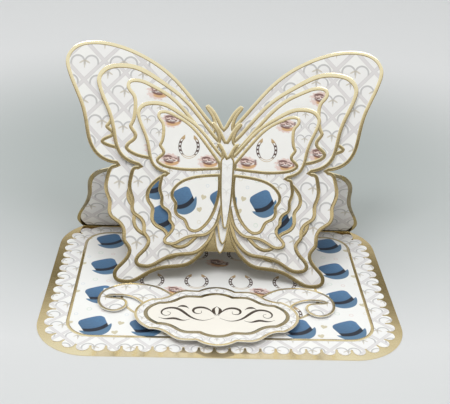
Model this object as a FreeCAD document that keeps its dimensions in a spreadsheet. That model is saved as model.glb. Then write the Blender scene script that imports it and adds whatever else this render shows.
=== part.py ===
"""Butterfly easel card: a folded card blank whose front leans back on a strut,
with three stacked butterflies, printed base toppers and a raised scroll plaque.

Frame: +Z up, +X to the right of someone who faces the card, +Y to its back.
The origin is on the table, under the middle of the base. Millimetres, degrees.
"""
import FreeCAD
import Part
import math
import os
from FreeCAD import Placement, Rotation, Vector

SIZES = [
    # The folded card blank
    ("base_width", 210.0),            # side to side
    ("base_depth", 148.0),            # front edge to the back of the hinge fold
    ("base_corner", 32.0),            # radius of the base's corners
    ("hinge_inset", 12.5),            # from the base's side to the end of the hinge fold
    ("card_thickness", 0.5),
    ("fold_radius", 0.45),            # outside of a scored and folded edge
    ("lean_angle", 60.0),             # of the butterflies, up from the table
    ("rest_distance", 70.5),          # front edge of the base to the resting tails
    ("front_panel_length", 74.0),     # along the lean, from the tails' rest to the middle fold
    ("front_panel_start", 21.5),      # along the lean, from the tails' rest to its lower edge
    ("front_panel_foot_width", 104.0),
    ("middle_fold_tuck", 2.0),        # middle fold's ends, in from the wing notches
    # The base toppers
    ("topper_thickness", 0.3),
    ("lace_margin", 4.0),             # base's edge to the tips of the lace
    ("lace_pitch", 8.5),              # about, from finger to finger
    ("lace_slot", 1.4),               # width of the cut between two fingers
    ("lace_neck", 0.8),               # straight side of a finger, behind its round tip
    ("lace_back_margin", 1.8),        # hinge fold to the straight back edge of the lace
    ("hat_panel_margin", 16.3),       # base's edge to the hat panel
    ("shoe_panel_margin", 45.0),      # base's side to the horseshoe panel
    ("shoe_panel_depth", 84.0),
    ("shoe_panel_setback", 34.0),     # front edge of the base to the horseshoe panel
    ("shoe_panel_corner", 26.0),
    ("lining_margin", 2.6),           # strut's edge to its lining
    # The three butterflies
    ("sheet_thickness", 0.4),
    ("large_margin", 5.7),            # base's side to the large butterfly's wing tip
    ("medium_margin", 18.0),          # large wing tip to the medium one's
    ("small_margin", 24.3),           # medium wing tip to the small one's
    ("medium_raise", 10.0),           # tails of the medium butterfly above the large one's
    ("small_raise", 24.2),
    ("large_shift", -0.5),            # of each butterfly's tails, to the right of the middle
    ("medium_shift", 0.7),
    ("small_shift", 1.9),
    ("large_turn", 0.5),              # of each butterfly, clockwise, as it was stuck down
    ("medium_turn", 0.9),
    ("small_turn", 1.0),
    ("medium_tip_lift", 3.3),         # of the outer wings, above the large one's shape
    ("small_tip_lift", 2.5),
    ("foam_thickness", 2.0),
    ("foam_side", 7.0),
    # The scroll plaque and its label
    ("plaque_foam_thickness", 1.5),
    ("plaque_foam_side", 5.0),
    ("plaque_shift", -1.9),           # plaque and label, to the left of the middle
    ("plaque_turn", 1.0),             # of both, clockwise
    ("plaque_margin", 34.3),          # base's side to the plaque's end, but for the shift
    ("plaque_depth", 49.0),
    ("stop_gap", 1.2),                # back of the plaque to the tails that rest behind it
    ("label_length", 95.2),
    ("label_height", 59.8),
    ("label_setback", 4.8),           # front edge of the base to the label
    ("label_border_side", 5.4),
    ("label_border_front", 7.2),
]

doc = FreeCAD.newDocument("easel_card")
sheet = doc.addObject("Spreadsheet::Sheet", "sizes")
for row, (alias, number) in enumerate(SIZES, start=1):
    sheet.set(f"A{row}", alias)
    sheet.set(f"B{row}", str(number))
    sheet.setAlias(f"B{row}", alias)
doc.recompute()


def size(alias):
    return float(sheet.get(alias))


# ---------------------------------------------------------------- shared places

CARD = size("card_thickness")
TOPPER = size("topper_thickness")
SHEET = size("sheet_thickness")
FOLD = size("fold_radius")
FRONT = -size("base_depth") / 2                       # Y of the base's front edge
HALF_WIDTH = size("base_width") / 2
HINGE_HALF = HALF_WIDTH - size("hinge_inset")
CORNER = size("base_corner")
HINGE_Y = -FRONT - FOLD

# The base is a rounded rectangle that the hinge fold cuts off across its back corners.
CORNER_X = HALF_WIDTH - CORNER
FRONT_CORNER_Y = FRONT + CORNER
BACK_CORNER_Y = HINGE_Y - math.sqrt(CORNER ** 2 - (HINGE_HALF - CORNER_X) ** 2)

# Heights of the flat layers on the base.
LACE_Z = CARD
HAT_Z = LACE_Z + TOPPER
SHOE_Z = HAT_Z + TOPPER
REST_Z = SHOE_Z + TOPPER
PLAQUE_Z = SHOE_Z + size("plaque_foam_thickness")
LABEL_Z = PLAQUE_Z + SHEET + size("plaque_foam_thickness")
LABEL_PANEL_Z = LABEL_Z + SHEET

# The leaning stack: distances from the back face of the large butterfly.
LEAN = size("lean_angle")
REST_Y = FRONT + size("rest_distance")
MEDIUM_OUT = SHEET + size("foam_thickness")
SMALL_OUT = MEDIUM_OUT + SHEET + size("foam_thickness")

# A butterfly's half is drawn on a grid 100 wide, so these are millimetres to a grid unit.
GRID_HALF = 100.0
LARGE = (HALF_WIDTH - size("large_margin")) / GRID_HALF
MEDIUM = LARGE - size("medium_margin") / GRID_HALF
SMALL = MEDIUM - size("small_margin") / GRID_HALF


def leaning(across, up, out):
    """A place on the leaning plane: along the middle fold, up the slope, and out of it."""
    turn = Rotation(Vector(1, 0, 0), LEAN)
    return Placement(Vector(0, REST_Y, REST_Z) + turn.multVec(Vector(across, up, out)), turn)


def flat(x, y, z):
    return Placement(Vector(x, y, z), Rotation())


# The two folds' centres: each fold's bead lies flush with the card's outer face.
MIDDLE_FOLD = leaning(0, size("front_panel_length"), -FOLD).Base
HINGE_FOLD = Vector(0, HINGE_Y, FOLD)
STRUT_LENGTH = (MIDDLE_FOLD - HINGE_FOLD).Length
STRUT_ANGLE = math.degrees(math.atan2(MIDDLE_FOLD.z - HINGE_FOLD.z, HINGE_FOLD.y - MIDDLE_FOLD.y))


def on_strut(out):
    """The strut's plane: Y runs down it from the middle fold, and out is behind it."""
    turn = Rotation(Vector(1, 0, 0), -STRUT_ANGLE)
    return Placement(MIDDLE_FOLD + turn.multVec(Vector(0, 0, out)), turn)


# ------------------------------------------------------------ outlines, right halves

# Each list is one smooth run of a half outline; where two runs meet there is a corner.
UPPER_WING = [(0, 95), (5.5, 99.8), (14, 109.5), (33, 130.8), (52, 143.2), (70, 149.5),
              (84, 150.6), (94.5, 147.4), (100, 139.6), (98.8, 131), (94, 119.5), (89.2, 108),
              (86.6, 97), (84, 86.5), (79, 78.8), (72.5, 74.8), (65.5, 73.4)]
LOWER_WING = [(65.5, 73.4), (70.4, 71.6), (72.4, 66), (73.3, 60), (72.2, 54.5), (70.5, 50),
              (70.6, 44.5), (68.8, 40.2), (63.6, 36.4), (61, 31.5), (60.6, 26), (57.2, 20.8),
              (58.6, 16), (63.4, 10.6), (65.8, 6), (64.6, 1.9), (60, 0), (53.5, 0.3),
              (46, 4.3), (39.5, 7.8), (30, 9.9), (20, 11.6), (13, 16.8), (8.4, 23.2),
              (5.2, 33), (3.2, 42), (0, 50)]
NOTCH_X, NOTCH_Y = UPPER_WING[-1]

# Where a lifted tip starts and where it is at its full height, out from the middle and up.
TIP_START, TIP_FULL = (45, 45), (70, NOTCH_Y)

# The body: up the inside of an antenna, down its outside, then down the body to its tip.
ANTENNA_INSIDE = [(0, 98.5), (2, 102.4), (5, 107.8), (10, 113)]
ANTENNA_OUTSIDE = [(10, 113), (11.8, 112), (8.9, 106.6), (7, 101.8), (6.4, 97.5)]
BODY_SIDE = [(6.4, 97.5), (7.4, 94), (7.6, 88), (7.3, 72), (6.6, 56), (5.7, 44), (4.4, 33),
             (3.5, 26.5), (2.1, 21.6), (0, 19.5)]

# The strut: share of the way out from the fold's end to the hinge's end, share of its length.
STRUT_SIDE = [(0, 0), (0.31, 0.055), (0.55, 0.11), (0.69, 0.19), (0.755, 0.295), (0.78, 0.42),
              (0.84, 0.54), (0.97, 0.68), (1.09, 0.80), (1.12, 0.885), (1.07, 0.955), (1, 1)]

# The plaque on a grid 70.7 by 49: an arm that curls round into a volute, split by a slit,
# and a broad band under the label. Distances run forward from the plaque's back edge.
PLAQUE_GRID = (70.7, 49.0)
PLAQUE_ACROSS = (HALF_WIDTH - size("plaque_margin")) / PLAQUE_GRID[0]
PLAQUE_ALONG = size("plaque_depth") / PLAQUE_GRID[1]
PLAQUE_ARM = [(0, 18.5), (14, 18), (25, 12.5), (33, 5), (41, 1), (49, 0), (57, 1), (64, 4.6),
              (69, 10.2), (70.7, 17), (69.8, 23.4), (66.2, 28.6), (61, 30.8), (56.4, 29.6),
              (53.4, 26.2), (52.6, 22), (54.2, 18.4), (58, 16.6), (62, 16.2), (65.4, 15.6)]
PLAQUE_SLIT = [(65.4, 15.6), (61.6, 14.4), (57, 14), (52, 15.2), (47, 18.6)]
PLAQUE_BAND = [(47, 18.6), (41, 27), (35, 37), (27, 44), (14, 48), (0, 49)]

# The label on a grid 47.6 by 30.7: a low dome, a shoulder that falls away, and a round end.
LABEL_GRID = (47.6, 30.7)
LABEL_DOME = [(0, 30.7), (4.4, 30), (8.2, 28.2), (11, 26)]
LABEL_SHOULDER = [(11, 26), (15, 26.1), (19, 26.1), (22.4, 25), (25.8, 22.3), (29, 18.9),
                  (32.6, 16.6), (38, 15.9)]
LABEL_END = [(38, 15.9), (42.9, 11.8), (46.4, 6.2), (47.6, 0),
             (46.4, -6.2), (42.9, -11.8), (38, -15.9)]


def scaled(run, across, along):
    return [(across * x, along * y) for x, y in run]


def smooth(points):
    curve = Part.BSplineCurve()
    curve.interpolate([Vector(x, y, 0) for x, y in points])
    return curve


def straight(start, end):
    return Part.LineSegment(Vector(*start, 0), Vector(*end, 0))


def arc(start, middle, end):
    return Part.Arc(Vector(*start, 0), Vector(*middle, 0), Vector(*end, 0))


def mirrored(run):
    return [(-x, y) for x, y in reversed(run)]


def symmetric(runs, round_ends):
    """Curves of a whole outline from the runs of its right half, top to bottom.

    With round ends, the first and last runs pass smoothly over the middle line.
    """
    if not round_ends:
        return [smooth(run) for run in runs] + [smooth(mirrored(run)) for run in reversed(runs)]
    top = mirrored(runs[0]) + runs[0][1:]
    bottom = runs[-1] + mirrored(runs[-1])[1:]
    middle = runs[1:-1]
    return ([smooth(top)] + [smooth(run) for run in middle] + [smooth(bottom)]
            + [smooth(mirrored(run)) for run in reversed(middle)])


def butterfly_outline(grid, tip_lift):
    """The wings at a size; the outer part of the upper wings, down to below the notch, is
    lifted, by a share that grows evenly out from the middle and up from the lower wings."""
    def lifted(run):
        shares = [[min(max((value - start) / (full - start), 0.0), 1.0)
                   for value, start, full in zip(point, TIP_START, TIP_FULL)]
                  for point in run]
        return [(x * grid, y * grid + tip_lift * out * up)
                for (x, y), (out, up) in zip(run, shares)]

    return symmetric([lifted(UPPER_WING), lifted(LOWER_WING)], False)


def body_outline(grid):
    runs = [ANTENNA_INSIDE, ANTENNA_OUTSIDE, BODY_SIDE]
    return symmetric([scaled(run, grid, grid) for run in runs], False)


def label_outline(length, height):
    across = length / 2 / LABEL_GRID[0]
    along = height / 2 / LABEL_GRID[1]
    lower = [[(x, -y) for x, y in reversed(run)] for run in (LABEL_SHOULDER, LABEL_DOME)]
    runs = [LABEL_DOME, LABEL_SHOULDER, LABEL_END, *lower]
    return symmetric([scaled(run, across, along) for run in runs], True)


def plaque_outline():
    runs = [PLAQUE_ARM, PLAQUE_SLIT, PLAQUE_BAND]
    return symmetric([scaled(run, PLAQUE_ACROSS, -PLAQUE_ALONG) for run in runs], True)


def strut_outline(inset):
    """From the middle fold, at Y = 0, down to the hinge fold, drawn in by an inset."""
    spread = HINGE_HALF - MIDDLE_FOLD_HALF
    length = STRUT_LENGTH - 2 * inset
    side = [(MIDDLE_FOLD_HALF - inset + out * spread, inset + down * length)
            for out, down in STRUT_SIDE]
    return [smooth(side), straight(side[-1], mirrored(side)[0]), smooth(mirrored(side)),
            straight(mirrored(side)[-1], side[0])]


def front_panel_outline():
    foot = size("front_panel_foot_width") / 2
    low = size("front_panel_start")
    high = size("front_panel_length")
    corners = [(foot, low), (MIDDLE_FOLD_HALF, high), (-MIDDLE_FOLD_HALF, high), (-foot, low)]
    return [straight(corners[i - 1], corners[i]) for i in range(len(corners))]


def on_corner(x, y, radius, degrees):
    """A point on a base corner's arc, on the right side; degrees run up from +X."""
    angle = math.radians(degrees)
    return (x + radius * math.cos(angle), y + radius * math.sin(angle))


def base_outline():
    """Front corners in full; the back corners stop at the hinge fold."""
    cut = math.degrees(math.asin((HINGE_Y - BACK_CORNER_Y) / CORNER))
    front = [on_corner(CORNER_X, FRONT_CORNER_Y, CORNER, degrees) for degrees in (-90, -45, 0)]
    back = [on_corner(CORNER_X, BACK_CORNER_Y, CORNER, degrees) for degrees in (0, cut / 2, cut)]
    curves = []
    for half in (lambda run: run, mirrored):
        curves.append(arc(*half(front)))
        curves.append(arc(*half(back)))
    curves.append(straight(front[-1], back[0]))
    curves.append(straight(mirrored(back)[-1], mirrored(front)[0]))
    curves.append(straight(back[-1], mirrored(back)[0]))
    curves.append(straight(mirrored(front)[-1], front[0]))
    return curves


def lowest(curves, turn):
    """Y of the lowest point of an outline that is turned clockwise about its origin."""
    shapes = [curve.toShape() for curve in curves]
    for shape in shapes:
        shape.rotate(Vector(), Vector(0, 0, 1), -turn)
    return min(shape.optimalBoundingBox().YMin for shape in shapes)


MIDDLE_FOLD_HALF = NOTCH_X * LARGE - size("middle_fold_tuck")
TAIL_LOW = lowest(butterfly_outline(LARGE, 0.0), size("large_turn"))


def lace_outline():
    """A straight back edge with rounded corners, then fingers with round tips.

    The fingers' shoulders lie on a path inside the base's edge: down the right side from the
    back corner, round the front and up the left side.
    """
    half_slot = size("lace_slot") / 2
    tip = size("lace_pitch") / 2 - half_slot
    radius = CORNER - size("lace_margin") - tip
    back_y = min(HINGE_Y - size("lace_back_margin"), BACK_CORNER_Y + radius)
    edge_angle = math.asin((back_y - BACK_CORNER_Y) / radius)
    lobe_angle = math.asin((back_y - BACK_CORNER_Y - tip) / radius)
    stretches = [radius * lobe_angle, BACK_CORNER_Y - FRONT_CORNER_Y,
                 radius * math.pi / 2, CORNER_X]
    half = sum(stretches)

    def place(distance):
        """Point and outward direction on the path, a distance from the first finger."""
        if distance > half:
            (x, y), (east, north) = place(2 * half - distance)
            return (-x, y), (-east, north)
        if distance <= stretches[0]:
            angle, corner_y = lobe_angle - distance / radius, BACK_CORNER_Y
        elif distance <= stretches[0] + stretches[1]:
            return (CORNER_X + radius, BACK_CORNER_Y + stretches[0] - distance), (1.0, 0.0)
        elif distance <= half - CORNER_X:
            angle, corner_y = (sum(stretches[:2]) - distance) / radius, FRONT_CORNER_Y
        else:
            return (half - distance, FRONT_CORNER_Y - radius), (0.0, -1.0)
        outward = (math.cos(angle), math.sin(angle))
        return (CORNER_X + radius * outward[0], corner_y + radius * outward[1]), outward

    def beside(distance, onward, inward):
        """A point off the path: so far onward along it, and so far inward."""
        (x, y), (east, north) = place(distance)
        return (x + onward * north - inward * east, y - onward * east - inward * north)

    fingers = round(2 * half / size("lace_pitch"))
    step = 2 * half / fingers
    neck = size("lace_neck")
    curves, shoulder = [], place(0.0)[0]
    for index in range(1, fingers + 1):
        last = index == fingers
        end = beside(index * step, 0.0 if last else -half_slot, 0.0)
        curves.append(arc(shoulder, beside((index - 0.5) * step, 0.0, -tip), end))
        if not last:
            floor = [beside(index * step, onward, neck + inward)
                     for onward, inward in ((-half_slot, 0), (0, half_slot), (half_slot, 0))]
            shoulder = beside(index * step, half_slot, 0.0)
            curves += [straight(end, floor[0]), arc(*floor), straight(floor[2], shoulder)]
    corner = [on_corner(CORNER_X, BACK_CORNER_Y, radius, math.degrees(angle))
              for angle in (edge_angle, (edge_angle + lobe_angle) / 2, lobe_angle)]
    curves += [arc(*corner), arc(*mirrored(corner)), straight(corner[0], mirrored(corner)[2])]
    return curves


# ------------------------------------------------------------------- sub-part makers

parts = []


def keep(item):
    parts.append(item)
    return item


def cut_sheet(name, curves, thickness, placement):
    """A sheet die-cut to an outline: the outline in a sketch, padded by its thickness."""
    body = doc.addObject("PartDesign::Body", name)
    body.Label = name
    sketch = body.newObject("Sketcher::SketchObject", name + "_outline")
    plane = next(f for f in body.Origin.OriginFeatures if f.Role == "XY_Plane")
    sketch.AttachmentSupport = (plane, [""])
    sketch.MapMode = "FlatFace"
    sketch.addGeometry(curves, False)
    pad = body.newObject("PartDesign::Pad", name + "_pad")
    pad.Profile = sketch
    pad.setExpression("Length", f"sizes.{thickness}")
    body.Tip = pad
    body.Placement = placement
    return body


def rounded_sheet(name, width, depth, corner, thickness, placement):
    """A rectangle with rounded corners; width, depth and corner are expressions."""
    box = doc.addObject("Part::Box", name + "_blank")
    box.setExpression("Length", width)
    box.setExpression("Width", depth)
    box.setExpression("Height", f"sizes.{thickness}")
    doc.recompute()
    upright = [index for index, edge in enumerate(box.Shape.Edges, start=1)
               if edge.BoundBox.ZLength > box.Height.Value / 2]
    fillet = doc.addObject("Part::Fillet", name)
    fillet.Label = name
    fillet.Base = box
    radius = box.evalExpression(corner)
    radius = getattr(radius, "Value", radius)
    fillet.Edges = [(index, radius, radius) for index in upright]
    fillet.Placement = placement
    return fillet


def foam_pad(name, side, height, placement):
    """A square of foam tape, centred on its place; height is an expression."""
    pad = doc.addObject("Part::Box", name)
    pad.Label = name
    pad.setExpression("Length", f"sizes.{side}")
    pad.setExpression("Width", f"sizes.{side}")
    pad.setExpression("Height", height)
    corner = Vector(-size(side) / 2, -size(side) / 2, 0)
    pad.Placement = Placement(placement.Base + placement.Rotation.multVec(corner),
                              placement.Rotation)
    return keep(pad)


def fold(name, centre, half_length):
    """A scored fold: a thin round bead along X that the two panels run into."""
    bead = doc.addObject("Part::Cylinder", name)
    bead.Label = name
    bead.setExpression("Radius", "sizes.fold_radius")
    bead.Height = 2 * half_length
    bead.Placement = Placement(centre - Vector(half_length, 0, 0),
                               Rotation(Vector(0, 1, 0), 90))
    return bead


# ------------------------------------------------------------------ the folded card

def folded_card():
    """Base, hinge fold, strut, middle fold and front panel, folded from one piece."""
    base = cut_sheet("base_panel", base_outline(), "card_thickness", flat(0, 0, 0))
    strut = cut_sheet("strut_panel", strut_outline(0.0), "card_thickness", on_strut(-CARD / 2))
    front = cut_sheet("front_panel", front_panel_outline(), "card_thickness",
                      leaning(0, 0, -CARD))
    card = doc.addObject("Part::MultiFuse", "folded_card")
    card.Label = "folded_card"
    card.Shapes = [base, strut, front, fold("hinge_fold", HINGE_FOLD, HINGE_HALF),
                   fold("middle_fold", MIDDLE_FOLD, MIDDLE_FOLD_HALF)]
    card.Refine = True
    return keep(card)


# -------------------------------------------------------------- toppers on the card

def base_toppers():
    keep(cut_sheet("lace_topper", lace_outline(), "topper_thickness", flat(0, 0, LACE_Z)))
    margin = size("hat_panel_margin")
    keep(rounded_sheet(
        "hat_panel", "sizes.base_width - 2 * sizes.hat_panel_margin",
        f"{BACK_CORNER_Y - FRONT_CORNER_Y} + 2 * (sizes.base_corner - sizes.hat_panel_margin)",
        "sizes.base_corner - sizes.hat_panel_margin", "topper_thickness",
        flat(margin - HALF_WIDTH, FRONT + margin, HAT_Z)))
    keep(rounded_sheet(
        "horseshoe_panel", "sizes.base_width - 2 * sizes.shoe_panel_margin",
        "sizes.shoe_panel_depth", "sizes.shoe_panel_corner", "topper_thickness",
        flat(size("shoe_panel_margin") - HALF_WIDTH, FRONT + size("shoe_panel_setback"),
             SHOE_Z)))


def strut_lining():
    """The strut's outline drawn in all round, on the face that looks over the base."""
    keep(cut_sheet("strut_lining", strut_outline(size("lining_margin")), "topper_thickness",
                   on_strut(-CARD / 2 - TOPPER)))


# ------------------------------------------------------------------- the butterflies

def seat(name, up, out):
    """Where a butterfly is stuck down: the middle of its tails, and how it is turned."""
    turned = Placement(Vector(), Rotation(Vector(0, 0, 1), -size(name + "_turn")))
    return leaning(size(name + "_shift"), up, out).multiply(turned)


def butterfly(name, grid, tip_lift, place):
    """One butterfly with its body and antennae stuck flat along its middle."""
    keep(cut_sheet(name + "_butterfly", butterfly_outline(grid, tip_lift), "sheet_thickness",
                   place))
    keep(cut_sheet(name + "_body", body_outline(grid), "sheet_thickness",
                   place.multiply(flat(0, 0, SHEET))))


# Places of the foam under a butterfly, on that butterfly's own grid.
FOAM_PLACES = {"upper": (45.0, 112.0), "lower": (36.0, 50.0)}


def foam_under(name, grid, place):
    """Four squares of foam that hold a butterfly off the one behind it."""
    for wing, (x, y) in FOAM_PLACES.items():
        for side, sign in (("left", -1), ("right", 1)):
            foam_pad(f"foam_{name}_{wing}_{side}", "foam_side", "sizes.foam_thickness",
                     place.multiply(flat(sign * x * grid, y * grid, -size("foam_thickness"))))


def butterflies():
    """The large one's tails rest on the base; the others are stacked in front of it."""
    butterfly("large", LARGE, 0.0, seat("large", -TAIL_LOW, 0.0))
    for name, grid, out in (("medium", MEDIUM, MEDIUM_OUT), ("small", SMALL, SMALL_OUT)):
        place = seat(name, size(name + "_raise"), out)
        foam_under(name, grid, place)
        butterfly(name, grid, size(name + "_tip_lift"), place)


# -------------------------------------------------------- the scroll plaque and label

PLAQUE_Y = REST_Y - size("stop_gap")                  # back edge of the plaque
LABEL_Y = FRONT + size("label_setback") + size("label_height") / 2
LABEL_FORWARD = (PLAQUE_Y - LABEL_Y) / PLAQUE_ALONG   # of the label's middle, on that grid

# Foam places on the plaque's grid: two under each volute, two under its band.
PLAQUE_FOAM = {"arm": (66.0, 8.6), "volute": (65.0, 22.6), "band": (24.0, 31.0)}
LABEL_FOAM = {"back": (17.0, 24.5), "front": (20.0, 40.0)}


PLAQUE_SEAT = Placement(Vector(size("plaque_shift"), PLAQUE_Y, 0),
                        Rotation(Vector(0, 0, 1), -size("plaque_turn")))


def on_plaque(x, forward, z):
    """A place over the plaque: from its back edge's middle, on its own grid, and up."""
    return PLAQUE_SEAT.multiply(flat(PLAQUE_ACROSS * x, -PLAQUE_ALONG * forward, z))


def scroll_plaque():
    """The plaque on foam, the label on more foam, and the plain panel on the label."""
    keep(cut_sheet("scroll_plaque", plaque_outline(), "sheet_thickness",
                   on_plaque(0, 0, PLAQUE_Z)))
    keep(cut_sheet("label_plate",
                   label_outline(size("label_length"), size("label_height")),
                   "sheet_thickness", on_plaque(0, LABEL_FORWARD, LABEL_Z)))
    keep(cut_sheet("label_panel",
                   label_outline(size("label_length") - 2 * size("label_border_side"),
                                 size("label_height") - 2 * size("label_border_front")),
                   "topper_thickness", on_plaque(0, LABEL_FORWARD, LABEL_PANEL_Z)))
    for side, sign in (("left", -1), ("right", 1)):
        for place, (x, forward) in PLAQUE_FOAM.items():
            on_shoes = place == "band"
            seat = REST_Z if on_shoes else SHOE_Z
            height = "sizes.plaque_foam_thickness" + (" - sizes.topper_thickness" if on_shoes else "")
            foam_pad(f"foam_plaque_{place}_{side}", "plaque_foam_side", height,
                     on_plaque(sign * x, forward, seat))
        for place, (x, forward) in LABEL_FOAM.items():
            foam_pad(f"foam_label_{place}_{side}", "plaque_foam_side",
                     "sizes.plaque_foam_thickness",
                     on_plaque(sign * x, forward, PLAQUE_Z + SHEET))


folded_card()
base_toppers()
strut_lining()
butterflies()
scroll_plaque()
doc.recompute()

# ------------------------------------------------------------------ check and write

for item in doc.Objects:
    if "Invalid" in item.State or "Error" in item.State:
        raise RuntimeError(f"{item.Label} failed: {item.State}")
for part in parts:
    if part.Shape.isNull() or not part.Shape.isValid() or len(part.Shape.Solids) != 1:
        raise RuntimeError(f"{part.Label} is not one valid solid")

os.makedirs("parts", exist_ok=True)
for part in parts:
    part.Shape.exportStep(f"parts/{part.Label}.step")
    print(f"{part.Label}: {part.Shape.Volume:.1f} mm3")
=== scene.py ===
import math
from functools import reduce

import bpy
import numpy as np
from bpy.props import FloatProperty, FloatVectorProperty, PointerProperty
from mathutils import Matrix, Vector


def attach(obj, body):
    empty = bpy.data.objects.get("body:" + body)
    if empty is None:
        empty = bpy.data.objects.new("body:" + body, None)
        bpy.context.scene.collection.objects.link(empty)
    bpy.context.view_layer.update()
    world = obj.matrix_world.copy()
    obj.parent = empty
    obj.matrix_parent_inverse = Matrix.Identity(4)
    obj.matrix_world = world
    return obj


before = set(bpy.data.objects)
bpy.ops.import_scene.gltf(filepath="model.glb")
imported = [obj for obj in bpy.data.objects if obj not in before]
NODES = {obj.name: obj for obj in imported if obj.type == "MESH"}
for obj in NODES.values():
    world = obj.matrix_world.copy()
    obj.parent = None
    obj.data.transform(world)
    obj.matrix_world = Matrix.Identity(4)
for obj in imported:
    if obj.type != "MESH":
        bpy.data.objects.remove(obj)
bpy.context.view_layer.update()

bl_info = {
    "name": "Butterfly Easel Card",
    "version": (1, 0, 0),
    "blender": (4, 5, 0),
    "location": "View3D > Sidebar > Easel Card",
    "description": "Foil lines, prints and paper finishes for a folded butterfly easel card",
    "category": "Add Mesh",
}

MM = 0.001
GRID = 100.0                          # a butterfly's half width, in steps of its grid

# Where the sheets' printed faces look, roughly; each sheet gives its own exactly.
LOOKS_FORWARD = (0.0, -0.9, 0.5)
LOOKS_UP = (0.0, 0.0, 1.0)
LOOKS_UNDER = (0.0, -0.9, -0.5)

# Middle of the gold line round a wing's two printed windows, right half, on that grid.
# Each run is one smooth curve; runs meet at corners.
UPPER_WINDOW = [
    [(8.5, 91.0), (24.0, 110.5), (36.0, 124.3), (47.0, 133.2), (59.0, 139.4), (69.0, 142.6),
     (75.6, 140.5), (75.5, 136.5), (71.7, 131.4), (70.0, 124.0), (70.3, 116.0), (71.8, 110.0),
     (72.8, 107.7), (69.2, 101.2), (69.3, 98.3), (73.6, 94.1), (75.3, 91.0), (71.7, 87.2),
     (61.2, 83.9), (44.5, 82.5), (27.8, 83.3), (8.6, 85.0)],
    [(8.6, 85.0), (8.3, 88.0), (8.5, 91.0)],
]
LOWER_WINDOW = [
    [(8.1, 77.8), (25.0, 76.2), (37.8, 73.6), (46.7, 70.0), (54.0, 64.0), (57.8, 57.2),
     (57.2, 51.0), (53.9, 45.8), (53.9, 38.3), (50.6, 32.5), (43.6, 28.3), (40.8, 22.8),
     (37.7, 18.3), (31.7, 16.7), (22.8, 22.0), (16.6, 30.0), (11.7, 41.0), (8.9, 52.0),
     (7.5, 63.0), (8.1, 77.8)],
]

# What a butterfly's prints look like. Lean tilts the foil's face up the wing, in radians;
# motif scales the motifs, tip_line the gold line at the wing tips, and rise the heights of
# an upper window above its foot; lattice is the width of a diamond in metres. Heart is the
# tip of one heart, and the rest are first places of repeated motifs, all on the grid.
WINDOW_FOOT = 83.0
WINGS = {
    "large": {"lean": 0.0, "motif": 0.65, "tip_line": 1.0, "rise": 0.58, "lattice": 0.0242,
              "heart": (-88.2, 125.6), "shoes": (42.0, 104.0), "bows": (20.8, 90.0),
              "hats": [(31.0, 19.0), (-33.0, 22.0)]},
    "medium": {"lean": 0.006, "motif": 0.78, "tip_line": 1.3, "rise": 0.99, "lattice": 0.0216,
               "heart": (-78.6, 120.3), "shoes": (42.0, 107.3), "bows": (30.0, 91.0),
               "hats": [(-46.0, 38.0), (-52.5, 64.0), (41.0, 40.0)]},
    "small": {"lean": 0.014, "motif": 1.0, "tip_line": 1.3, "rise": 1.02, "lattice": 0.0150,
              "heart": (-88.0, 122.0), "shoes": (42.0, 107.3), "bows": (20.8, 91.6),
              "hats": [(-46.0, 49.4), (-3.0, 50.5), (40.0, 49.4)]},
}
WING_HAT, WING_BOW, WING_SHOE = 15.0, 11.4, 11.4      # half widths
WING_HAT_PITCH, WING_BOW_PITCH, WING_SHOE_PITCH = (43.0, 48.0), (41.5, 43.0), (84.0, 200.0)
WING_HAT_TURN = -0.5                                  # in radians
TIP = (0.86, 0.97)                    # shares of a wing's height over which its line widens
NECK = (0.80, 0.86)                   # the same for a body's line, at its antennae
ANTENNA_LINE = 2.1                    # width of a body's line there over its width below
BODY_PRINT = 0.3                      # strength of the print on the bodies
CREAM = (0.98, 0.94, 0.88)            # the label panel's tint over the paper's white
RING_SHADE = 0.5                      # painted shade: the gold line round the label panel is drawn at this share of the foil's colour

# Lattice prints of the other sheets: material, look, diamonds' width and a heart's tip.
LATTICES = {"lace_topper": ("lace_print", LOOKS_UP, 0.0200, (0.0, 0.004)),
            "strut_lining": ("lining_print", LOOKS_UNDER, 0.0244, (0.0, 0.0)),
            "scroll_plaque": ("scroll_plaque_print", LOOKS_UP, 0.0220, (0.0, 0.0)),
            "label_plate": ("label_plate_print", LOOKS_UP, 0.0122, (0.0, 0.0))}

# Motifs on the base's panels: first places in metres from the middle of a panel's front,
# turn in radians, and pitch in metres.
BASE_HATS = ((-0.0722, 0.0112), -0.42, (0.0292, 0.0328))
BASE_BOWS = (((-0.0011, 0.0650), (-0.0272, 0.0310)), 0.25, (0.0522, 0.0690))
BASE_SHOES = ((-0.0143, 0.0425), 0.0, (0.0275, 0.0345))

# In metres: heights over the card of its gold edge lines, its windows and its pen strokes,
# the way in from a cut edge to its gold line, and the spacings of points along outlines.
EDGE_LIFT, PRINT_LIFT, PEN_LIFT, PEN_SWELL = 0.00001, 0.00002, 0.00003, 0.00002
EDGE_GAP = 0.00001
RIM_STEP, LINE_STEP, FILL_STEP = 0.0003, 0.00035, 0.0006
LINE_ROWS, PANEL_ROWS, STROKE_ROWS = 7, 8, 5          # rows of points across
CURVE_POINTS, STROKE_POINTS = 30, 24  # points of a smooth curve for each one given
PANEL_MIDDLE = 0.0005                 # size of a panel's innermost row, over the panel's
CORNER_REACH = 1.35                   # longest step in at a corner, over the step elsewhere
TINY = 1e-9

# Lamps: name, place and size in metres. Light bands: degrees above level and the light
# there, which changes evenly from one to the next.
LAMPS = (("key", (-0.40, -0.60, 1.50), 0.5), ("fill", (0.45, -0.60, 1.40), 0.6))
LAMPS_AIM = (0.0, 0.0, 0.04)
BANDS = ((30.8, "room"), (31.8, "strip"), (33.8, "strip"), (35.0, "room"), (37.6, "room"),
         (39.8, "strip"), (42.6, "ceiling"))
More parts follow.
